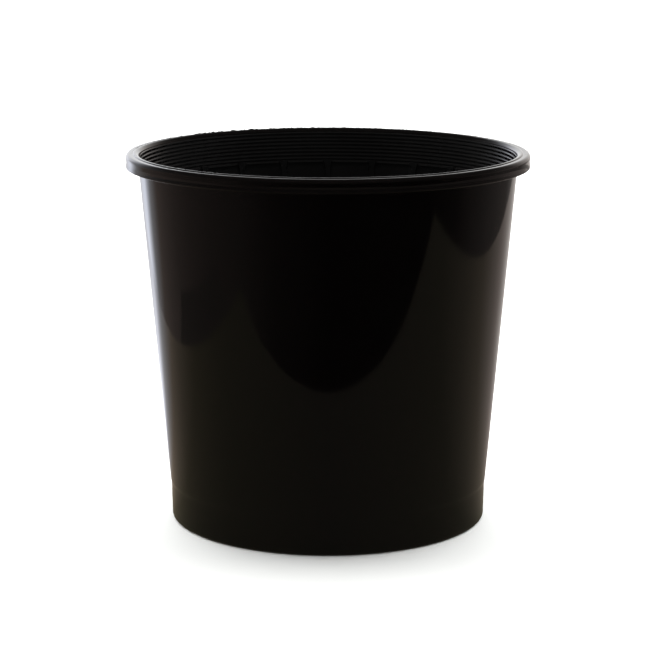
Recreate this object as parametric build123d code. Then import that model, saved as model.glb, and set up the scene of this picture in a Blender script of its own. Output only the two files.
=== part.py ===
"""Florist bucket: one injection moulding in black polypropylene.

The bucket is a shell turned about Z, with a turned-down lip at the mouth, a stack of fine
rings inside the mouth, a ring of upright ribs below them, a slightly stepped foot and a
base that is dished up off the floor. Millimetres, +Z up, origin at the centre of the
circle that the foot stands on.
"""

import os
from math import atan2, degrees

from build123d import *

# Overall sizes
HEIGHT = 208.0  # floor to the crest of the rim
RIM_DIAMETER = 225.0  # outside of the turned-down lip
FOOT_DIAMETER = 177.9  # outside of the foot, where it is about to round under

# Wall and foot
WALL = 1.1  # wall thickness, measured level
FOOT_HEIGHT = 19.6  # plain band at the foot, below the step
FOOT_SPREAD = 0.4  # how much wider the foot is at its top than at the floor
FOOT_STEP = 0.5  # how far the wall stands out past the foot band
FOOT_STEP_RISE = 1.5  # height over which the wall steps out
FOOT_ROUND = 2.0  # outside round between the foot and the floor
FOOT_LAND = 2.4  # width of the flat ring that stands on the floor

# Base panel
BASE_THICKNESS = 1.6
BASE_LIFT = 3.0  # underside of the base panel, above the floor
BASE_RAMP = 4.0  # width of the slope between the foot land and the base panel
GATE_DIAMETER = 7.0  # moulding gate pad under the middle of the base
GATE_DEPTH = 0.6

# Rim
LIP_OVERHANG = 6.4  # lip beyond the wall, if the wall ran up to the crest
LIP_DROP = 8.0  # crest of the rim down to the lip's free edge
LIP_THICKNESS = 1.1
LIP_WAIST = 0.25  # hollow in the outside of the lip, between its shoulder and edge
LIP_EDGE_ROUND = 0.45
RIM_WEB = 1.8  # plastic above the hollow under the lip
CREST_RISE = 2.2  # inner round of the crest, from the bore up to its top
CREST_WIDTH = 2.8  # inner round of the crest, from the bore out to its top
CREST_LAND = 0.9  # outer half of the crest, from its top out to the crease
CREASE_DEPTH = 0.6  # crease between the crest and the shoulder, below the crest
SHOULDER_STEP = 0.2  # the shoulder starts this far above the bottom of the crease
SHOULDER_ROUND = 2.0  # outside round between the top of the shoulder and the lip

# Rings inside the mouth
RING_COUNT = 9
RING_PITCH = 2.15
RING_HEIGHT = 0.35  # how far a ring stands in from the wall
RING_WIDTH = 1.5  # height of wall that one ring covers
RING_START = 3.0  # crest of the rim down to the middle of the first ring

# Upright ribs, from the lowest rings down
RIB_COUNT = 24
RIB_WIDTH = 3.0
RIB_DEPTH = 1.1  # how far a rib stands in from the wall
RIB_LENGTH = 60.0
RIB_HEAD_WIDTH = 4.6  # across the very top, from where it narrows to the stem
RIB_HEAD_HEIGHT = 5.0
RINGS_CROSSED = 1  # lowest rings, which the ribs run up over
RIB_GAP = 0.1  # lowest ring that stays clear down to the heads of the ribs

# Lines of the section
rim_radius = RIM_DIAMETER / 2
foot_radius = FOOT_DIAMETER / 2
foot_top_radius = foot_radius + FOOT_SPREAD
wall_foot_z = FOOT_HEIGHT + FOOT_STEP_RISE
wall_foot_radius = foot_top_radius + FOOT_STEP
wall_slope = (rim_radius - LIP_OVERHANG - wall_foot_radius) / (HEIGHT - wall_foot_z)
wall_lean = degrees(atan2(wall_slope, 1))


def outer_radius(z):
    """Outside of the wall at height z, above the foot band."""
    return wall_foot_radius + (z - wall_foot_z) * wall_slope


def inner_radius(z):
    """Inside of the wall at height z."""
    return outer_radius(z) - WALL


bore_z = HEIGHT - CREST_RISE
bore_radius = inner_radius(bore_z)
crest_radius = bore_radius + CREST_WIDTH
crease_radius = crest_radius + CREST_LAND
crease_z = HEIGHT - CREASE_DEPTH
shoulder_z = crease_z + SHOULDER_STEP
shoulder_start = crease_radius + SHOULDER_STEP
shoulder_end = rim_radius - SHOULDER_ROUND
lip_edge_z = HEIGHT - LIP_DROP
lip_shoulder_z = shoulder_z - SHOULDER_ROUND
lip_waist_z = (lip_shoulder_z + lip_edge_z + LIP_EDGE_ROUND) / 2
lip_inner_radius = rim_radius - LIP_THICKNESS
hollow_top_z = HEIGHT - RIM_WEB
hollow_round = max(SHOULDER_ROUND - LIP_THICKNESS, LIP_THICKNESS / 2)
lowest_clear_ring = RING_START + (RING_COUNT - 1 - RINGS_CROSSED) * RING_PITCH
rib_top_z = HEIGHT - lowest_clear_ring - RING_WIDTH / 2 - RIB_GAP


def ring_edges():
    """Inside of the mouth, from the bore down past the rings, as arcs and short lines."""
    edges = []
    corner = (bore_radius, bore_z)
    for ring in range(RING_COUNT):
        middle = HEIGHT - RING_START - ring * RING_PITCH
        top = middle + RING_WIDTH / 2
        bottom = middle - RING_WIDTH / 2
        start = (inner_radius(top), top)
        tip = (inner_radius(middle) - RING_HEIGHT, middle)
        end = (inner_radius(bottom), bottom)
        if top < corner[1]:
            edges.append(Line(corner, start))
            edges.append(ThreePointArc(start, tip, end))
        else:
            edges.append(ThreePointArc(corner, tip, end))
        corner = end
    return edges, corner


def shell_section():
    """Half section of the whole bucket in the XZ plane, as (radius, height)."""
    land_outer = foot_radius - FOOT_ROUND
    land_inner = land_outer - FOOT_LAND
    ramp_end = land_inner - BASE_RAMP
    turn = FOOT_ROUND * (1 - 0.5**0.5)
    gutter_round = max(FOOT_ROUND - WALL / 2, WALL / 2)
    gutter_turn = gutter_round * (1 - 0.5**0.5)
    gutter_radius = foot_radius - WALL

    rings, below_rings = ring_edges()
    hollow_turn = hollow_round * (1 - 0.5**0.5)
    edge_turn = LIP_EDGE_ROUND * (1 - 0.5**0.5)
    shoulder_turn = SHOULDER_ROUND * (1 - 0.5**0.5)

    outside = [
        Line((0, BASE_LIFT), (ramp_end, BASE_LIFT)),
        Line((ramp_end, BASE_LIFT), (land_inner, 0)),
        Line((land_inner, 0), (land_outer, 0)),
        ThreePointArc(
            (land_outer, 0),
            (foot_radius - turn, turn),
            (foot_radius, FOOT_ROUND),
        ),
        Line((foot_radius, FOOT_ROUND), (foot_top_radius, FOOT_HEIGHT)),
        Line((foot_top_radius, FOOT_HEIGHT), (wall_foot_radius, wall_foot_z)),
        Line((wall_foot_radius, wall_foot_z), (outer_radius(hollow_top_z), hollow_top_z)),
    ]
    lip = [
        Line(
            (outer_radius(hollow_top_z), hollow_top_z),
            (lip_inner_radius - hollow_round, hollow_top_z),
        ),
        ThreePointArc(
            (lip_inner_radius - hollow_round, hollow_top_z),
            (lip_inner_radius - hollow_turn, hollow_top_z - hollow_turn),
            (lip_inner_radius, hollow_top_z - hollow_round),
        ),
        Line((lip_inner_radius, hollow_top_z - hollow_round), (lip_inner_radius, lip_edge_z)),
        Line((lip_inner_radius, lip_edge_z), (rim_radius - LIP_EDGE_ROUND, lip_edge_z)),
        ThreePointArc(
            (rim_radius - LIP_EDGE_ROUND, lip_edge_z),
            (rim_radius - edge_turn, lip_edge_z + edge_turn),
            (rim_radius, lip_edge_z + LIP_EDGE_ROUND),
        ),
        ThreePointArc(
            (rim_radius, lip_edge_z + LIP_EDGE_ROUND),
            (rim_radius - LIP_WAIST, lip_waist_z),
            (rim_radius, lip_shoulder_z),
        ),
        ThreePointArc(
            (rim_radius, lip_shoulder_z),
            (rim_radius - shoulder_turn, shoulder_z - shoulder_turn),
            (shoulder_end, shoulder_z),
        ),
        Line((shoulder_end, shoulder_z), (shoulder_start, shoulder_z)),
        Line((shoulder_start, shoulder_z), (crease_radius, crease_z)),
        TangentArc((crest_radius, HEIGHT), (crease_radius, crease_z), tangent=(1, 0)),
        EllipticalCenterArc(
            (crest_radius, bore_z),
            CREST_WIDTH,
            CREST_RISE,
            start_angle=90,
            arc_size=90,
        ),
    ]
    inside = [
        Line(below_rings, (inner_radius(wall_foot_z), wall_foot_z)),
        Line(
            (inner_radius(wall_foot_z), wall_foot_z),
            (gutter_radius, BASE_THICKNESS + gutter_round),
        ),
        ThreePointArc(
            (gutter_radius, BASE_THICKNESS + gutter_round),
            (gutter_radius - gutter_turn, BASE_THICKNESS + gutter_turn),
            (gutter_radius - gutter_round, BASE_THICKNESS),
        ),
        Line((gutter_radius - gutter_round, BASE_THICKNESS), (land_inner, BASE_THICKNESS)),
        Line((land_inner, BASE_THICKNESS), (ramp_end, BASE_LIFT + BASE_THICKNESS)),
        Line((ramp_end, BASE_LIFT + BASE_THICKNESS), (0, BASE_LIFT + BASE_THICKNESS)),
        Line((0, BASE_LIFT + BASE_THICKNESS), (0, BASE_LIFT)),
    ]
    with BuildSketch(Plane.XZ) as section:
        with BuildLine():
            for edge in outside + lip + rings + inside:
                add(edge)
        make_face()
    return section.sketch


def rib():
    """One upright rib, widening to its head, leaning with the wall, on the +X side."""
    outline = Polygon(
        (-RIB_HEAD_WIDTH / 2, 0),
        (-RIB_WIDTH / 2, -RIB_HEAD_HEIGHT),
        (-RIB_WIDTH / 2, -RIB_LENGTH),
        (RIB_WIDTH / 2, -RIB_LENGTH),
        (RIB_WIDTH / 2, -RIB_HEAD_HEIGHT),
        (RIB_HEAD_WIDTH / 2, 0),
        align=None,
    )
    solid = extrude(Plane.YZ * outline, amount=RIB_DEPTH + WALL / 2, dir=(1, 0, 0))
    face_radius = inner_radius(rib_top_z) - RIB_DEPTH
    return Pos(face_radius, 0, rib_top_z) * Rot(0, wall_lean, 0) * solid


def bucket():
    """The whole moulding."""
    shell = revolve(shell_section(), axis=Axis.Z)
    ribs = [Rot(0, 0, 360 / RIB_COUNT * turn) * rib() for turn in range(RIB_COUNT)]
    gate = Pos(0, 0, BASE_LIFT - GATE_DEPTH) * Cylinder(
        GATE_DIAMETER / 2,
        GATE_DEPTH + BASE_THICKNESS / 2,
        align=(Align.CENTER, Align.CENTER, Align.MIN),
    )
    return shell + ribs + gate


os.makedirs("parts", exist_ok=True)
moulding = bucket()
moulding.label = "bucket"
export_step(moulding, "parts/bucket.step")
print(f"bucket: {moulding.volume / 1000:.1f} cm3, wall leans {wall_lean:.2f} degrees")
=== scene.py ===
"""Florist bucket: the look of the moulding, its floor, lights and camera."""

import math

import bmesh
import bpy
from bpy.props import FloatProperty, FloatVectorProperty, IntProperty, PointerProperty
from mathutils import Matrix, Vector, noise


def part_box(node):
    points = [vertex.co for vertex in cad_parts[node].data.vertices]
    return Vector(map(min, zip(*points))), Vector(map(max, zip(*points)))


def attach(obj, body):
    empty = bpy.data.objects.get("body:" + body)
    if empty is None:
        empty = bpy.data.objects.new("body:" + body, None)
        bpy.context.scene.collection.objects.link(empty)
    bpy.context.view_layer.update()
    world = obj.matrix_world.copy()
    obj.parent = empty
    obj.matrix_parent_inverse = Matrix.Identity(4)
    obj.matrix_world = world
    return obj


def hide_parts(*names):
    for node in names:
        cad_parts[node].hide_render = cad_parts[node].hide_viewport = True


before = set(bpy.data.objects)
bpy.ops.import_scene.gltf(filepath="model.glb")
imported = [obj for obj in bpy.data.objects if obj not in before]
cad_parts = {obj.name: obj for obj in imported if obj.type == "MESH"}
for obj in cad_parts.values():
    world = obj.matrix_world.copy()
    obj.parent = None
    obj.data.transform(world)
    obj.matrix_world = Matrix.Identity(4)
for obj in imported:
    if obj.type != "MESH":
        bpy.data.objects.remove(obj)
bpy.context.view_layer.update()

bl_info = {
    "name": "Florist Bucket",
    "version": (1, 0, 0),
    "blender": (4, 5, 0),
    "location": "View3D > Sidebar > Florist Bucket",
    "description": "Moulds a glossy black polypropylene flower bucket around its CAD frame",
    "category": "Object",
}

MM = 0.001
_, NODE_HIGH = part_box("bucket")
WELD = 0.004 * MM  # points nearer than this are one point


def linear(hex_colour):
    """Linear RGBA of an sRGB hex colour."""
    channels = [int(hex_colour[i : i + 2], 16) / 255 for i in (1, 3, 5)]
    return [c / 12.92 if c <= 0.04045 else ((c + 0.055) / 1.055) ** 2.4 for c in channels] + [1.0]


# ---------------------------------------------------------------- sizes


def length(name, description, millimetres):
    """A size in millimetres as a property in metres."""
    return FloatProperty(
        name=name,
        description=description,
        default=millimetres * MM,
        unit="LENGTH",
        subtype="DISTANCE",
        precision=5,
    )


class BucketSizes(bpy.types.PropertyGroup):
    """Sizes of the moulding. The height and the rim come from the CAD frame."""

    height: FloatProperty(
        name="Height",
        description="Floor to the crest of the rim",
        default=NODE_HIGH.z,
        unit="LENGTH",
        subtype="DISTANCE",
    )
    rim_radius: FloatProperty(
        name="Rim Radius",
        description="Outside radius of the turned-down lip",
        default=NODE_HIGH.x,
        unit="LENGTH",
        subtype="DISTANCE",
    )
    foot_radius: length("Foot Radius", "Outside radius of the foot where it rounds under", 88.95)
    foot_height: length("Foot Height", "Plain band at the foot, below the step", 19.6)
    foot_spread: length("Foot Spread", "How much wider the foot is at its top", 0.4)
    foot_step: length("Foot Step", "How far the wall stands out past the foot band", 0.5)
    foot_step_rise: length("Foot Step Rise", "Height over which the wall steps out", 3.0)
    foot_round: length("Foot Round", "Round between the foot and the floor", 2.0)
    wall: length("Wall", "Wall thickness", 1.1)
    base: length("Base", "Thickness of the base panel", 1.6)
    base_lift: length("Base Lift", "Underside of the base panel above the floor", 3.0)
    lip_overhang: length("Lip Overhang", "Lip beyond the wall, at the crest", 6.4)
    lip_drop: length("Lip Drop", "Crest of the rim down to the lip's free edge", 8.0)
    lip_waist: length("Lip Waist", "Hollow in the outside of the lip", 0.25)
    shoulder_round: length("Shoulder Round", "Outside round at the top of the lip", 2.0)
    flash_height: length("Flash Height", "Tallest rag of moulding flash on the crest", 0.55)
    crest_width: length("Crest Width", "Inner round of the crest, level", 2.8)
    crest_rise: length("Crest Rise", "Inner round of the crest, upright", 2.2)
    ring_height: length("Ring Height", "How far a ring stands in from the wall", 0.35)
    ring_width: length("Ring Width", "Height of wall that one ring covers", 1.5)
    ring_pitch: length("Ring Pitch", "Spacing of the rings inside the mouth", 2.15)
    ring_start: length("Ring Start", "Crest of the rim down to the first ring", 3.0)
    ring_count: IntProperty(name="Rings", description="Rings inside the mouth", default=9, min=1)
    rib_count: IntProperty(name="Ribs", description="Upright ribs inside the wall", default=24)
    rib_width: length("Rib Width", "Width of a rib's stem", 3.0)
    rib_depth: length("Rib Depth", "How far a rib stands in from the wall", 1.1)
    rib_length: length("Rib Length", "Height of a rib", 60.0)
    rib_head_width: length("Rib Head Width", "Width across a rib's very top", 4.6)
    rib_head_height: length("Rib Head Height", "Height over which a rib narrows", 5.0)


class PlasticLook(bpy.types.PropertyGroup):
    """Finish of the moulded polypropylene."""

    shade: FloatVectorProperty(
        name="Shade",
        description="Body colour of the carbon-black plastic",
        subtype="COLOR",
        size=4,
        min=0.0,
        max=1.0,
        default=linear("#020101"),
    )
    roughness: FloatProperty(
        name="Roughness",
        description="Gloss of the outside, from the polished cavity",
        subtype="FACTOR",
        default=0.055,
        min=0.0,
        max=1.0,
    )
    # Partly the grey haze of the duller core, partly painted light: the inside body colour is made
    # far lighter than the outside to stand in for light falling inside the bucket.
    inside_shade_with_painted_light: FloatVectorProperty(
        name="Inside Shade",
        description="Body colour inside the bucket, hazed by the duller core",
        subtype="COLOR",
        size=4,
        min=0.0,
        max=1.0,
        default=linear("#181818"),
    )
    inside_roughness: FloatProperty(
        name="Inside Roughness",
        description="Gloss of the inside, from the duller core",
        subtype="FACTOR",
        default=0.2,
        min=0.0,
        max=1.0,
    )


# ---------------------------------------------------------------- shape


def arc(centre, radius, start, end, steps, rise=None):
    """Points of a round in the section plane, from angle start to end in degrees."""
    rise = rise or radius
    turns = [math.radians(start + (end - start) * i / steps) for i in range(steps + 1)]
    return [(centre[0] + radius * math.cos(t), centre[1] + rise * math.sin(t)) for t in turns]


def smooth_step(t):
    """0 to 1 with an even start and end, held level outside that range."""
    t = min(max(t, 0.0), 1.0)
    return t * t * (3 - 2 * t)


class BucketSection:
    """Half section of the shell as (radius, height), in metres, worked out from the sizes."""

    support = 0.35 * MM  # extra loop beside each round, so that the long walls shade flat
    foot_land = 2.4 * MM  # width of the flat ring that stands on the floor
    base_ramp = 4.0 * MM  # width of the slope between the foot land and the base panel
    ramp_bend = 0.7 * MM  # reach of the rounds at both ends of that slope
    ramp_bend_rise = 0.55 * MM  # how far the slope has risen where they end
    gate_radius = 3.5 * MM  # moulding gate pad under the middle of the base
    gate_depth = 0.6 * MM
    lip_thickness = 1.1 * MM
    lip_edge_round = 0.45 * MM
    rim_web = 1.8 * MM  # plastic above the hollow under the lip
    hollow_fillet = 0.5 * MM  # round between the wall and the top of the hollow
    crest_land = 0.9 * MM  # outer half of the crest, from its top out to the crease
    crease_depth = 0.55 * MM  # crease between the crest and the shoulder, below the crest
    shoulder_depth = 0.4 * MM  # flat top of the shoulder, below the crest
    rib_gap = 0.1 * MM  # from the lowest clear ring down to the heads of the ribs
    rib_round = 0.4 * MM  # round on the edges of a rib

    def __init__(self, sizes):
        self.s = sizes
        self.wall_foot_z = sizes.foot_height + sizes.foot_step_rise
        self.foot_top = sizes.foot_radius + sizes.foot_spread
        self.wall_foot = self.foot_top + sizes.foot_step
        neck = sizes.rim_radius - sizes.lip_overhang
        self.slope = (neck - self.wall_foot) / (sizes.height - self.wall_foot_z)
        lowest_clear_ring = sizes.ring_start + (sizes.ring_count - 2) * sizes.ring_pitch
        clear_end = sizes.height - lowest_clear_ring - sizes.ring_width / 2
        self.rib_top = clear_end - self.rib_gap
        self.rib_neck = self.rib_top - sizes.rib_head_height
        self.rib_bottom = self.rib_top - sizes.rib_length
        self.land_outer = sizes.foot_radius - sizes.foot_round
        self.land_inner = self.land_outer - self.foot_land
        self.ramp_end = self.land_inner - self.base_ramp

    def outer(self, z):
        """Outside of the wall at height z, above the foot band."""
        return self.wall_foot + (z - self.wall_foot_z) * self.slope

    def inner(self, z):
        """Inside of the wall at height z."""
        return self.outer(z) - self.s.wall

    def rib_edge(self, z):
        """Half the angle that a rib covers at height z: it narrows from its top to its neck."""
        share = (z - self.rib_neck) / self.s.rib_head_height
        head = (self.s.rib_head_width - self.s.rib_width) * min(max(share, 0.0), 1.0)
        return (self.s.rib_width + head) / 2 / self.inner(self.rib_top)

    def underside(self):
        """From the middle of the underside out to the top of the foot."""
        s = self.s
        gate = self.gate_radius
        gate_low = s.base_lift - self.gate_depth
        foot_turn = arc((self.land_outer, s.foot_round), s.foot_round, -90, 0, 8)
        return [
            (0.0, gate_low),
            (gate - 0.5 * MM, gate_low),
            (gate, s.base_lift - 0.1 * MM),
            (gate + 0.6 * MM, s.base_lift),
            (self.ramp_end * 0.5, s.base_lift),
            (self.ramp_end - 0.8 * MM, s.base_lift),
            (self.ramp_end, s.base_lift - 0.12 * MM),
            (self.ramp_end + self.ramp_bend, s.base_lift - self.ramp_bend_rise),
            (self.land_inner - self.ramp_bend, self.ramp_bend_rise),
            (self.land_inner, 0.1 * MM),
            (self.land_inner + 0.5 * MM, 0.0),
            (self.land_outer - self.support, 0.0),
            *foot_turn,
            (s.foot_radius + 0.01 * MM, s.foot_round + self.support),
            (self.foot_top - 0.01 * MM, s.foot_height - self.support),
            *[
                (
                    self.foot_top + s.foot_step * smooth_step(i / 6),
                    s.foot_height + s.foot_step_rise * i / 6,
                )
                for i in range(7)
            ],
            (self.outer(self.wall_foot_z + self.support), self.wall_foot_z + self.support),
        ]

    def lip(self):
        """Up the outside wall, round the turned-down lip and over the crest into the bore."""
        s = self.s
        web_z = s.height - self.rim_web
        fillet = self.hollow_fillet
        fillet_z = web_z - fillet
        bore_z = s.height - s.crest_rise
        crest = self.inner(bore_z) + s.crest_width
        crease = crest + self.crest_land
        shoulder_z = s.height - self.shoulder_depth
        shoulder = s.rim_radius - s.shoulder_round
        inside = s.rim_radius - self.lip_thickness
        hollow = max(s.shoulder_round - self.lip_thickness, self.lip_thickness / 2)
        edge = self.lip_edge_round
        low = s.height - s.lip_drop
        waist_top = shoulder_z - s.shoulder_round
        waist_low = low + edge
        waist = [
            (
                s.rim_radius - s.lip_waist * math.sin(math.pi * t),
                waist_low + (waist_top - waist_low) * t,
            )
            for t in (0.12, 0.25, 0.4, 0.55, 0.7, 0.85)
        ]
        return [
            *[(self.outer(z), z) for z in (s.height * 0.25, s.height * 0.5, s.height * 0.75)],
            (self.outer(fillet_z - self.support), fillet_z - self.support),
            *arc((self.outer(fillet_z) + fillet, fillet_z), fillet, 180, 90, 4),
            *arc((inside - hollow, web_z - hollow), hollow, 90, 0, 6),
            (inside, low + 0.3 * MM),
            (inside + 0.1 * MM, low + 0.05 * MM),
            (inside + 0.25 * MM, low),
            *arc((s.rim_radius - edge, low + edge), edge, -90, 0, 5),
            *waist,
            *arc((shoulder, waist_top), s.shoulder_round, 0, 90, 10),
            (shoulder - self.support, shoulder_z),
            (crease + 0.6 * MM, shoulder_z),
            (crease + 0.3 * MM, shoulder_z - 0.02 * MM),
            (crease + 0.1 * MM, shoulder_z - 0.08 * MM),
            (crease, s.height - self.crease_depth),
            (crease - 0.08 * MM, s.height - 0.42 * MM),
            (crest + 0.62 * MM, s.height - 0.2 * MM),
            (crest + 0.3 * MM, s.height - 0.05 * MM),
            *arc((crest, bore_z), s.crest_width, 90, 180, 12, rise=s.crest_rise),
        ]

    def rings(self):
        """Down the inside of the mouth, one half-round ring after another."""
        s = self.s
        points = [(self.inner(self.rib_top), self.rib_top)]
        steps = 6
        for ring in range(s.ring_count):
            middle = s.height - s.ring_start - ring * s.ring_pitch
            for i in range(steps + 1):
                t = i / steps
                z = middle + s.ring_width * (0.5 - t)
                if z < s.height - s.crest_rise - 0.05 * MM:
                    points.append((self.inner(z) - s.ring_height * math.sin(math.pi * t) ** 0.8, z))
        return sorted(points, key=lambda point: -point[1])

    def inside(self):
        """Down the inside wall past the ribs, round the gutter and in over the base panel."""
        s = self.s
        gutter = s.foot_radius - s.wall
        gutter_round = s.foot_round - s.wall / 2
        top = s.base + s.base_lift
        stations = [
            (self.rib_neck + s.height - s.ring_start - s.ring_count * s.ring_pitch) / 2,
            self.rib_neck,
            self.rib_neck - 1.5 * MM,
            (self.rib_top + self.rib_bottom) / 2,
            self.rib_bottom,
            self.rib_bottom - 0.3 * MM,
            (self.rib_bottom + self.wall_foot_z) / 2,
            self.wall_foot_z + self.support,
            self.wall_foot_z,
        ]
        return [
            *[(self.inner(z), z) for z in stations],
            (gutter + 0.02 * MM, s.base + gutter_round + self.support),
            *arc((gutter - gutter_round, s.base + gutter_round), gutter_round, 0, -90, 6),
            (self.land_inner + 0.4 * MM, s.base),
            (self.land_inner, s.base + 0.1 * MM),
            (self.land_inner - self.ramp_bend, s.base + self.ramp_bend_rise),
            (self.ramp_end + self.ramp_bend, top - self.ramp_bend_rise),
            (self.ramp_end, top - 0.1 * MM),
            (self.ramp_end - self.ramp_bend, top),
            (self.ramp_end * 0.5, top),
            (0.0, top),
        ]

    def points(self):
        """The whole half section, from the middle of the underside to the middle of the base."""
        return self.underside() + self.lip() + self.rings() + self.inside()


def spin_sector(mesh, section, angles, first):
    """Turns the section through one rib's share of the circle, by (angle, steps) in turn."""
    corners = [mesh.verts.new((r, 0.0, z)) for r, z in section.points()]
    chain = [mesh.edges.new(pair) for pair in zip(corners, corners[1:])]
    bmesh.ops.rotate(mesh, cent=(0, 0, 0), matrix=Matrix.Rotation(first, 3, "Z"), verts=corners)
    geometry = corners + chain
    for angle, steps in angles:
        turned = bmesh.ops.spin(
            mesh,
            geom=geometry,
            cent=(0, 0, 0),
            axis=(0, 0, 1),
            dvec=(0, 0, 0),
            angle=angle,
            steps=steps,
            use_merge=False,
            use_normal_flip=False,
            use_duplicate=False,
        )
        geometry = turned["geom_last"]


def on_inner_wall(section, point):
    """Whether a point is on the inside of the wall or on one of its rings."""
    depth = section.inner(point.z) - math.hypot(point.x, point.y)
    return -0.05 * MM < depth < section.s.ring_height + 0.05 * MM


def on_rib(section, point):
    """Whether a point of the inner wall is inside the outline of the sector's rib."""
    slack = 0.02 * MM
    if not section.rib_bottom - slack < point.z < section.rib_top + slack:
        return False
    turn = abs(math.atan2(point.y, point.x))
    inside = turn < section.rib_edge(point.z) + slack / section.s.rim_radius
    return inside and on_inner_wall(section, point)


def raise_rib(mesh, section):
    """Lifts the rib in the middle of the sector off the inside wall and rounds its edges."""
    s = section.s
    wide = section.rib_edge(section.rib_top)
    margin = 0.01 * MM
    same_turn = 0.001  # radians
    for vert in mesh.verts:
        turn = math.atan2(vert.co.y, vert.co.x)
        in_head = section.rib_neck - margin < vert.co.z < section.rib_top - margin
        on_side = abs(abs(turn) - wide) < same_turn
        if in_head and on_side and on_inner_wall(section, vert.co):
            swing = math.copysign(section.rib_edge(vert.co.z), turn) - turn
            vert.co.rotate(Matrix.Rotation(swing, 3, "Z"))
    bmesh.ops.remove_doubles(mesh, verts=mesh.verts, dist=WELD)

    faces = [f for f in mesh.faces if all(on_rib(section, v.co) for v in f.verts)]
    raised = bmesh.ops.extrude_face_region(mesh, geom=faces, use_keep_orig=False)
    top = [e for e in raised["geom"] if isinstance(e, bmesh.types.BMVert)]
    crown = {e for e in raised["geom"] if isinstance(e, bmesh.types.BMFace)}
    bmesh.ops.delete(mesh, geom=faces, context="FACES")
    for vert in top:
        turn = math.atan2(vert.co.y, vert.co.x)
        radius = section.inner(vert.co.z) - s.rib_depth
        vert.co.x = radius * math.cos(turn)
        vert.co.y = radius * math.sin(turn)
    rim = [e for e in mesh.edges if sum(f in crown for f in e.link_faces) == 1]
    bmesh.ops.bevel(
        mesh,
        geom=rim,
        offset=section.rib_round,
        offset_type="OFFSET",
        affect="EDGES",
        segments=3,
        profile=0.5,
        material=-1,
        clamp_overlap=True,
    )


def repeat_sector(mesh, count):
    """Copies the sector round the circle and closes every seam and pole."""
    sector = mesh.verts[:] + mesh.edges[:] + mesh.faces[:]
    for turn in range(1, count):
        copy = bmesh.ops.duplicate(mesh, geom=sector)["geom"]
        verts = [v for v in copy if isinstance(v, bmesh.types.BMVert)]
        swing = Matrix.Rotation(turn * math.tau / count, 3, "Z")
        bmesh.ops.rotate(mesh, cent=(0, 0, 0), matrix=swing, verts=verts)
    bmesh.ops.remove_doubles(mesh, verts=mesh.verts, dist=WELD)
    bmesh.ops.recalc_face_normals(mesh, faces=mesh.faces)


def settle_shape(mesh, section):
    """Small faults of a real moulding: a slightly uneven wall and a crest worn in patches."""
    s = section.s
    true_middle = 10 * MM  # the gate and the base round it stay true
    sway, sway_length = 0.12, 55 * MM
    wear, burr_grain, patch_grain = 0.9, 2.1 * MM, 23 * MM
    crest = section.inner(s.height - s.crest_rise) + s.crest_width + 0.3 * MM
    for vert in mesh.verts:
        place = vert.co.copy()
        radius = math.hypot(place.x, place.y)
        if radius < true_middle:
            continue
        level = Vector((place.x, place.y, 0))
        slow = noise.noise(place / sway_length) * smooth_step(place.z / s.height)
        vert.co += level / radius * slow * sway * MM
        if place.z > s.height - 1.0 * MM and abs(radius - crest) < 1.2 * MM:
            burr = max(0.0, noise.noise(level / burr_grain))
            worn = max(0.0, noise.noise(level / patch_grain + Vector((3, 1, 0))))
            vert.co.z -= burr * worn * wear * MM


def is_inside(face, section):
    """Whether a face is inside the bucket, below the round of the crest.

    Faces that look outwards, or down at the floor, belong to the outside.
    """
    s = section.s
    middle = face.calc_center_median()
    radius = math.hypot(middle.x, middle.y)
    outward = face.normal.x * middle.x + face.normal.y * middle.y > 0.5 * radius
    underside = middle.z < s.base + s.base_lift and face.normal.z < -0.1
    within = radius < section.inner(middle.z) + 0.75 * s.wall
    return within and not outward and not underside and middle.z < s.height - s.crest_rise


def ragged_flash(sizes, section):
    """A closed thin fin round the crest, ragged as flash is where the mould halves meet.

    It is low all round, taller in patches, and tallest at the left of the back.
    """
    radius = section.inner(sizes.height - sizes.crest_rise) + sizes.crest_width + 0.25 * MM
    low = sizes.height - 0.35 * MM
    tip = sizes.height - 0.05 * MM
    half = 0.11 * MM  # half of its thickness at the root
    grain = 2.4 * MM  # length of one rag
    stations = 1500  # points round the crest, about five to a rag
    tallest = Vector((-0.5, 0.86, 0.0))
    mesh = bmesh.new()
    profile = ((radius - half, low), (radius, tip), (radius + half, low))
    corners = [mesh.verts.new((r, 0.0, z)) for r, z in profile]
    sides = [mesh.edges.new(pair) for pair in zip(corners, corners[1:] + corners[:1])]
    bmesh.ops.spin(
        mesh,
        geom=corners + sides,
        cent=(0, 0, 0),
        axis=(0, 0, 1),
        dvec=(0, 0, 0),
        angle=math.tau,
        steps=stations,
        use_merge=True,
        use_normal_flip=False,
        use_duplicate=False,
    )
    bmesh.ops.remove_doubles(mesh, verts=mesh.verts, dist=WELD)
    for vert in mesh.verts:
        if vert.co.z > low + half:
            way = Vector((vert.co.x, vert.co.y, 0.0)).normalized()
            left_back = max(0.0, way.dot(tallest)) ** 3
            patch = smooth_step(noise.noise(way * 4.0 + Vector((5, 2, 0))) * 2 + 0.3)
            rag = abs(noise.noise(way * (sizes.rim_radius / grain)))
            height = sizes.flash_height * rag * (0.12 + 0.3 * patch + 1.5 * left_back)
            vert.co.z = tip + min(height, sizes.flash_height)
    bmesh.ops.recalc_face_normals(mesh, faces=mesh.faces)
    return object_from(mesh, "crest_flash")


def object_from(mesh, name):
    """A new object at the origin that takes over the mesh."""
    data = bpy.data.meshes.new(name)
    mesh.to_mesh(data)
    mesh.free()
    piece = bpy.data.objects.new(name, data)
    bpy.context.scene.collection.objects.link(piece)
    return piece


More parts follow.
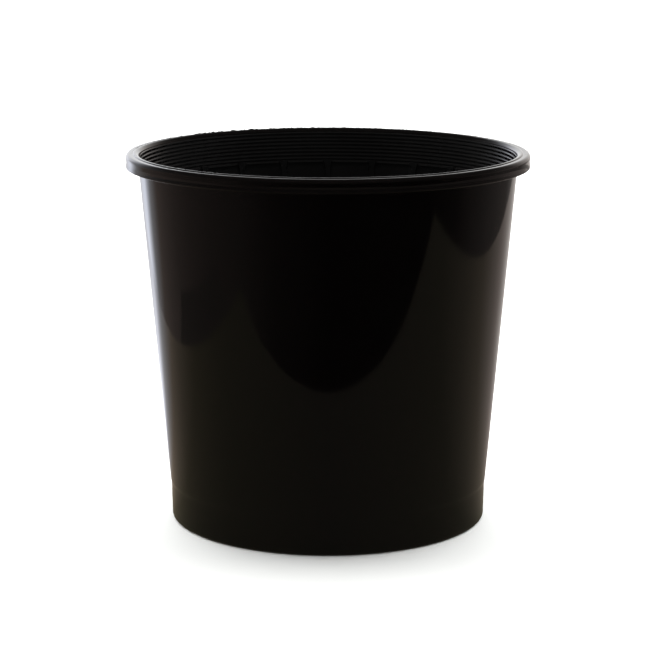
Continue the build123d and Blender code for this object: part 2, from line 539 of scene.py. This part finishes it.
class FLORIST_OT_mould_bucket(bpy.types.Operator):
    """Mould the bucket: turn its section, raise the ribs and give it the plastic"""

    bl_idname = "florist.mould_bucket"
    bl_label = "Mould Bucket"

    def execute(self, context):
        section = BucketSection(context.scene.florist_sizes)
        s = section.s
        share = math.tau / s.rib_count
        stem = section.rib_edge(section.rib_neck)
        head = section.rib_edge(section.rib_top)
        plain = (share / 2 - head, 8)  # (angle, steps) of the bare wall beside the rib
        angles = [plain, (head - stem, 1), (2 * stem, 2), (head - stem, 1), plain]
        mesh = bmesh.new()
        spin_sector(mesh, section, angles, -share / 2)
        bmesh.ops.recalc_face_normals(mesh, faces=mesh.faces)
        raise_rib(mesh, section)
        bmesh.ops.rotate(
            mesh,
            cent=(0, 0, 0),
            matrix=Matrix.Rotation(math.pi / 2, 3, "Z"),
            verts=mesh.verts,
        )
        repeat_sector(mesh, s.rib_count)
        settle_shape(mesh, section)
        for face in mesh.faces:
            face.smooth = True
            face.material_index = int(is_inside(face, section))
        bucket = object_from(mesh, "bucket_moulding")
        flash = ragged_flash(s, section)
        look = context.scene.florist_look
        outside = black_polypropylene(
            "black_polypropylene_gloss", look.shade, look.roughness, specular=0.5
        )
        # The inside copy of the plastic is rougher, as the duller core really is. Its lighter body
        # colour is partly that haze and partly painted light inside the bucket.
        inside = black_polypropylene(
            "black_polypropylene_core_side_painted_light", look.inside_shade_with_painted_light, look.inside_roughness, specular=0.25
        )
        for piece in (bucket, flash):
            piece.data.materials.append(outside)
            piece.data.materials.append(inside)
            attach(piece, "root")
        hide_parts("bucket")
        return {"FINISHED"}


# ---------------------------------------------------------------- materials


def add_node(tree, kind, settings=None, inputs=None):
    """One node with its settings; an input given as a socket is linked, a value is set."""
    node = tree.nodes.new(kind)
    for key, value in (settings or {}).items():
        setattr(node, key, value)
    for key, value in (inputs or {}).items():
        if isinstance(value, bpy.types.NodeSocket):
            tree.links.new(value, node.inputs[key])
        else:
            node.inputs[key].default_value = value
    return node


def new_material(name):
    """An empty node material and its tree."""
    material = bpy.data.materials.new(name)
    material.use_nodes = True
    material.node_tree.nodes.clear()
    return material, material.node_tree


def black_polypropylene(name, shade, roughness, specular):
    """Injection-moulded polypropylene, carbon black, off one face of the mould.

    Nearly black all through, with long faint flow ripples down the wall from the gate, a
    fine orange peel, and hairline scuffs from nesting. The polished cavity gives the
    outside a wet-looking gloss, and the duller core gives the inside a hazier gloss.
    The inside's lighter body colour is partly that grey haze and partly painted light,
    standing in for the light that falls inside the bucket.
    """
    material, tree = new_material(name)
    place = add_node(tree, "ShaderNodeTexCoord").outputs["Object"]
    per_mm = 1 / MM

    def pattern(across, along, detail, fineness=0.5):
        """Noise with grains this many millimetres wide and tall."""
        grain = add_node(
            tree,
            "ShaderNodeMapping",
            inputs={"Vector": place, "Scale": (per_mm / across, per_mm / across, per_mm / along)},
        )
        return add_node(
            tree,
            "ShaderNodeTexNoise",
            inputs={
                "Vector": grain.outputs["Vector"],
                "Scale": 1.0,
                "Detail": detail,
                "Roughness": fineness,
            },
        ).outputs["Fac"]

    def between(value, low, high, to_low, to_high):
        """The value's range stretched to another range, clamped at both ends."""
        return add_node(
            tree,
            "ShaderNodeMapRange",
            inputs={
                "Value": value,
                "From Min": low,
                "From Max": high,
                "To Min": to_low,
                "To Max": to_high,
            },
        ).outputs["Result"]

    flow = pattern(across=19.0, along=120.0, detail=1.5)
    peel = pattern(across=2.4, along=2.4, detail=2.0)
    handled = pattern(across=34.0, along=34.0, detail=4.0, fineness=0.6)
    hairline = pattern(across=0.5, along=26.0, detail=3.0, fineness=0.65)
    patches = pattern(across=17.0, along=17.0, detail=2.0)
    scuff_haze = 0.06  # roughness that a full scuff adds
    polished, hazed = roughness - 0.02, roughness + 0.035

    tone = add_node(tree, "ShaderNodeValToRGB", inputs={"Fac": handled})
    tone.color_ramp.elements[0].position = 0.35
    tone.color_ramp.elements[0].color = [0.75 * channel for channel in shade[:3]] + [1.0]
    tone.color_ramp.elements[1].position = 0.7
    tone.color_ramp.elements[1].color = shade[:]

    scuffed = add_node(
        tree,
        "ShaderNodeMath",
        settings={"operation": "MULTIPLY"},
        inputs={
            0: between(hairline, 0.60, 0.72, 0.0, 1.0),
            1: between(patches, 0.52, 0.66, 0.0, 1.0),
        },
    ).outputs[0]
    gloss = add_node(
        tree,
        "ShaderNodeMath",
        settings={"operation": "MULTIPLY_ADD"},
        inputs={
            0: scuffed,
            1: scuff_haze,
            2: between(handled, 0.3, 0.75, polished, hazed),
        },
    ).outputs[0]

    ripple = add_node(
        tree,
        "ShaderNodeBump",
        inputs={"Strength": 1.0, "Distance": 0.12 * MM, "Height": flow},
    )
    skin = add_node(
        tree,
        "ShaderNodeBump",
        inputs={
            "Strength": 0.12,
            "Distance": 0.02 * MM,
            "Height": peel,
            "Normal": ripple.outputs["Normal"],
        },
    )
    plastic = add_node(
        tree,
        "ShaderNodeBsdfPrincipled",
        inputs={
            "Base Color": tone.outputs["Color"],
            "Roughness": gloss,
            "IOR": 1.49,
            "Specular IOR Level": specular,
            "Normal": skin.outputs["Normal"],
        },
    )
    add_node(
        tree,
        "ShaderNodeOutputMaterial",
        inputs={"Surface": plastic.outputs["BSDF"]},
    )
    return material


# ---------------------------------------------------------------- stage


def flat_sheet(name, low, high, z):
    """A level rectangle between two corners."""
    mesh = bmesh.new()
    bmesh.ops.create_grid(mesh, x_segments=1, y_segments=1, size=0.5)
    size = Vector((high[0] - low[0], high[1] - low[1], 1))
    bmesh.ops.scale(mesh, vec=size, verts=mesh.verts)
    middle = Vector(((high[0] + low[0]) / 2, (high[1] + low[1]) / 2, z))
    bmesh.ops.translate(mesh, vec=middle, verts=mesh.verts)
    return object_from(mesh, name)


def matt_white(name, colour):
    """Matt paper: no gloss, only its shade."""
    material, tree = new_material(name)
    matt = add_node(tree, "ShaderNodeBsdfDiffuse", inputs={"Color": linear(colour)})
    add_node(tree, "ShaderNodeOutputMaterial", inputs={"Surface": matt.outputs["BSDF"]})
    return material


def light_around(tree, heading, stops):
    """Light by compass angle, in degrees left of straight behind, from (angle, level, tint)."""
    turned = add_node(
        tree,
        "ShaderNodeMapping",
        inputs={"Vector": heading, "Rotation": (0.0, 0.0, -math.pi / 2)},
    )
    dial = add_node(
        tree,
        "ShaderNodeTexGradient",
        settings={"gradient_type": "RADIAL"},
        inputs={"Vector": turned.outputs["Vector"]},
    )
    ramp = add_node(tree, "ShaderNodeValToRGB", inputs={"Fac": dial.outputs["Fac"]})
    elements = ramp.color_ramp.elements
    while len(elements) < len(stops):
        elements.new(0.5)
    for element, (angle, level, tint) in zip(elements, stops):
        element.position = 0.5 + angle / 360
        element.color = [level * channel for channel in linear(tint)[:3]] + [1.0]
    return ramp.outputs["Color"]


def lit_paper(name, stops):
    """Paper lit by a big window behind it, as bright as the light that it throws back."""
    material, tree = new_material(name)
    place = add_node(tree, "ShaderNodeTexCoord").outputs["Object"]
    glow = add_node(
        tree,
        "ShaderNodeEmission",
        inputs={"Color": light_around(tree, place, stops), "Strength": 1.0},
    )
    add_node(tree, "ShaderNodeOutputMaterial", inputs={"Surface": glow.outputs[0]})
    return material


def soft_light(name, place, target, width, height, power):
    """A white rectangular softbox aimed at a point."""
    data = bpy.data.lights.new(name, "AREA")
    data.shape = "RECTANGLE"
    data.size = width
    data.size_y = height
    data.energy = power
    lamp = bpy.data.objects.new(name, data)
    lamp.location = place
    aim = Vector(target) - Vector(place)
    lamp.rotation_euler = aim.to_track_quat("-Z", "Y").to_euler()
    bpy.context.scene.collection.objects.link(lamp)
    return lamp


# Light that the gloss gets from the paper under the bucket, from the darker floor past its
# edges, from the floor far off, from a dim gap beside the paper, and from the room above
# the horizon. Each stop is (degrees left of straight behind, level, tint).
PAPER_LIGHT = (
    (-180, 0.090, "#fff6e2"),
    (-110, 0.12, "#fff6d6"),
    (-72, 0.24, "#ffecd2"),
    (-45, 0.40, "#ffece2"),
    (-22, 0.70, "#fff6f0"),
    (20, 0.95, "#f8f8ff"),
    (34, 1.70, "#f2f4ff"),
    (45, 0.70, "#f8f6fa"),
    (62, 0.35, "#ffe8d0"),
    (90, 0.175, "#fff0ca"),
    (120, 0.13, "#fff6d2"),
    (180, 0.090, "#fff6e2"),
)
ROOM_LIGHT = (
    (-180, 0.010, "#fff6f0"),
    (-120, 0.012, "#fff6f0"),
    (-100, 0.035, "#fff0e8"),
    (-88, 0.075, "#fff0e8"),
    (-70, 0.11, "#fff0e8"),
    (-45, 0.11, "#fff0e8"),
    (-25, 0.30, "#fff6f0"),
    (20, 1.00, "#f8f8ff"),
    (34, 2.20, "#eef2ff"),
    (46, 0.55, "#f8f6fa"),
    (56, 0.24, "#ffe8dc"),
    (90, 0.15, "#ffe8dc"),
    (129, 0.085, "#fff0e4"),
    (150, 0.035, "#fff0e4"),
    (180, 0.010, "#fff6f0"),
)
FAR_LIGHT = (
    (-180, 0.10, "#fff6e8"),
    (-141, 0.09, "#fff6e8"),
    (-111, 0.11, "#fff0e8"),
    (-89, 0.14, "#ffece4"),
    (-71, 0.20, "#ffece4"),
    (-55, 0.28, "#ffece4"),
    (-37, 0.32, "#fff0e8"),
    (-20, 1.00, "#fff6f0"),
    (20, 1.60, "#f8f8ff"),
    (34, 2.20, "#eef2ff"),
    (44, 0.60, "#f8f6fa"),
    (53, 0.50, "#f4ece8"),
    (65, 0.28, "#ffe8dc"),
    (107, 0.20, "#ffe8dc"),
    (138, 0.08, "#fff0e4"),
    (180, 0.10, "#fff6e8"),
)
GAP_LIGHT = ((-180, 0.10, "#fff0e4"), (180, 0.10, "#fff0e4"))
SKY_LIGHT = (
    (-180, 0.05, "#fff6f0"),
    (-120, 0.05, "#fff6f0"),
    (-80, 0.09, "#fff0e8"),
    (-52, 0.2, "#fff0e8"),
    (-25, 0.9, "#fff6f0"),
    (0, 1.3, "#ffffff"),
    (25, 2.0, "#f4f6ff"),
    (38, 0.9, "#f4f6ff"),
    (54, 0.3, "#f8f6fa"),
    (76, 0.13, "#fff6f0"),
    (110, 0.07, "#fff0e8"),
    (180, 0.05, "#fff6f0"),
)


def glossy_sheet(name, low, high, z, stops):
    """A sheet that is seen only in the bucket's gloss."""
    sheet = flat_sheet(name, low, high, z)
    sheet.data.materials.append(lit_paper(name + "_light", stops))
    sheet.visible_camera = False
    sheet.visible_diffuse = False
    sheet.visible_shadow = False
    return sheet


class FLORIST_OT_set_stage(bpy.types.Operator):
    """Set the pale floor, the studio light and the camera"""

    bl_idname = "florist.set_stage"
    bl_label = "Set Stage"

    def execute(self, context):
        # The sheets lie one under another, so that a nearer surface covers those past it.
        scene = context.scene
        floor = flat_sheet("floor", (-6, -6), (6, 9), -0.05 * MM)
        floor.data.materials.append(matt_white("white_paper_floor", "#f7f8f6"))
        floor.visible_glossy = False
        paper = glossy_sheet("paper_in_gloss", (-0.40, -0.31), (0.62, 2.5), -0.06 * MM, PAPER_LIGHT)
        gap = glossy_sheet("gap_in_gloss", (-0.53, -0.22), (-0.40, 0.10), -0.12 * MM, GAP_LIGHT)
        room = glossy_sheet("room_in_gloss", (-1.1, -1.0), (1.0, 5), -0.2 * MM, ROOM_LIGHT)
        hall = glossy_sheet("hall_in_gloss", (-4, -4), (4, 6), -0.3 * MM, FAR_LIGHT)
        self.light_world(scene)
        self.place_lights()
        self.place_camera(scene)
        return {"FINISHED"}

    def light_world(self, scene):
        """A white room; in the gloss it is a window behind, a dim ceiling and a dark front.

        A height or a direction is a share of 1 along the world's unit vector.
        """
        ceiling_start, ceiling_full, ceiling_level = 0.2, 0.6, 0.08
        front_edge, back_edge, front_level, back_level = -0.3, 0.4, 0.5, 3.8
        world = bpy.data.worlds.new("white_studio")
        world.use_nodes = True
        tree = world.node_tree
        tree.nodes.clear()
        path = add_node(tree, "ShaderNodeLightPath")
        heading = add_node(tree, "ShaderNodeTexCoord").outputs["Generated"]
        axes = add_node(tree, "ShaderNodeSeparateXYZ", inputs={"Vector": heading})
        upward = add_node(
            tree,
            "ShaderNodeMapRange",
            settings={"interpolation_type": "SMOOTHSTEP"},
            inputs={
                "Value": axes.outputs["Z"],
                "From Min": ceiling_start,
                "From Max": ceiling_full,
            },
        )
        # Inputs 6 and 7 and output 2 are the mix node's colour sockets.
        overhead = add_node(
            tree,
            "ShaderNodeMix",
            settings={"data_type": "RGBA"},
            inputs={
                "Factor": upward.outputs["Result"],
                6: light_around(tree, heading, SKY_LIGHT),
                7: [ceiling_level * channel for channel in linear("#fff6ee")],
            },
        )
        back_light = add_node(
            tree,
            "ShaderNodeMapRange",
            settings={"interpolation_type": "SMOOTHSTEP"},
            inputs={
                "Value": axes.outputs["Y"],
                "From Min": front_edge,
                "From Max": back_edge,
                "To Min": front_level,
                "To Max": back_level,
            },
        )
        white = add_node(
            tree,
            "ShaderNodeBackground",
            inputs={"Color": linear("#ffffff"), "Strength": back_light.outputs["Result"]},
        )
        seen_in_gloss = add_node(
            tree,
            "ShaderNodeBackground",
            inputs={"Color": overhead.outputs[2], "Strength": 1.0},
        )
        split = add_node(
            tree,
            "ShaderNodeMixShader",
            inputs={
                0: path.outputs["Is Glossy Ray"],
                1: white.outputs[0],
                2: seen_in_gloss.outputs[0],
            },
        )
        add_node(tree, "ShaderNodeOutputWorld", inputs={"Surface": split.outputs[0]})
        world.cycles.sampling_method = "NONE"
        scene.world = world
        scene.view_settings.view_transform = "Standard"

    def place_lights(self):
        """A faint softbox behind, which the gloss doesn't show."""
        lamp = soft_light(
            "softbox_behind",
            place=(-0.3, 1.2, 1.3),
            target=(0, 0, 0),
            width=1.4,
            height=1.0,
            power=2,
        )
        lamp.visible_glossy = False

    def place_camera(self, scene):
        """A long lens at the front, looking a little down."""
        look_down = 11.70  # degrees
        data = bpy.data.cameras.new("camera")
        data.sensor_width = 36.0
        data.lens = 129.0
        data.clip_start = 0.01
        data.clip_end = 100
        camera = bpy.data.objects.new("camera", data)
        camera.location = (-1.67 * MM, -1.290, 0.3759)
        camera.rotation_euler = (math.radians(90 - look_down), 0, 0)
        scene.collection.objects.link(camera)
        scene.camera = camera


# ---------------------------------------------------------------- add-on


class FLORIST_PT_bucket(bpy.types.Panel):
    """Sidebar panel with the sizes, the finish and the steps"""

    bl_label = "Florist Bucket"
    bl_idname = "FLORIST_PT_bucket"
    bl_space_type = "VIEW_3D"
    bl_region_type = "UI"
    bl_category = "Florist Bucket"

    def draw(self, context):
        column = self.layout.column()
        for group in (context.scene.florist_sizes, context.scene.florist_look):
            for name in group.__annotations__:
                column.prop(group, name)
        column.operator(FLORIST_OT_mould_bucket.bl_idname)
        column.operator(FLORIST_OT_set_stage.bl_idname)


CLASSES = (
    BucketSizes,
    PlasticLook,
    FLORIST_OT_mould_bucket,
    FLORIST_OT_set_stage,
    FLORIST_PT_bucket,
)


def register():
    for cls in CLASSES:
        bpy.utils.register_class(cls)
    bpy.types.Scene.florist_sizes = PointerProperty(type=BucketSizes)
    bpy.types.Scene.florist_look = PointerProperty(type=PlasticLook)


def unregister():
    del bpy.types.Scene.florist_look
    del bpy.types.Scene.florist_sizes
    for cls in reversed(CLASSES):
        bpy.utils.unregister_class(cls)


def main():
    register()
    bpy.ops.florist.mould_bucket()
    bpy.ops.florist.set_stage()


if __name__ == "__main__":
    main()
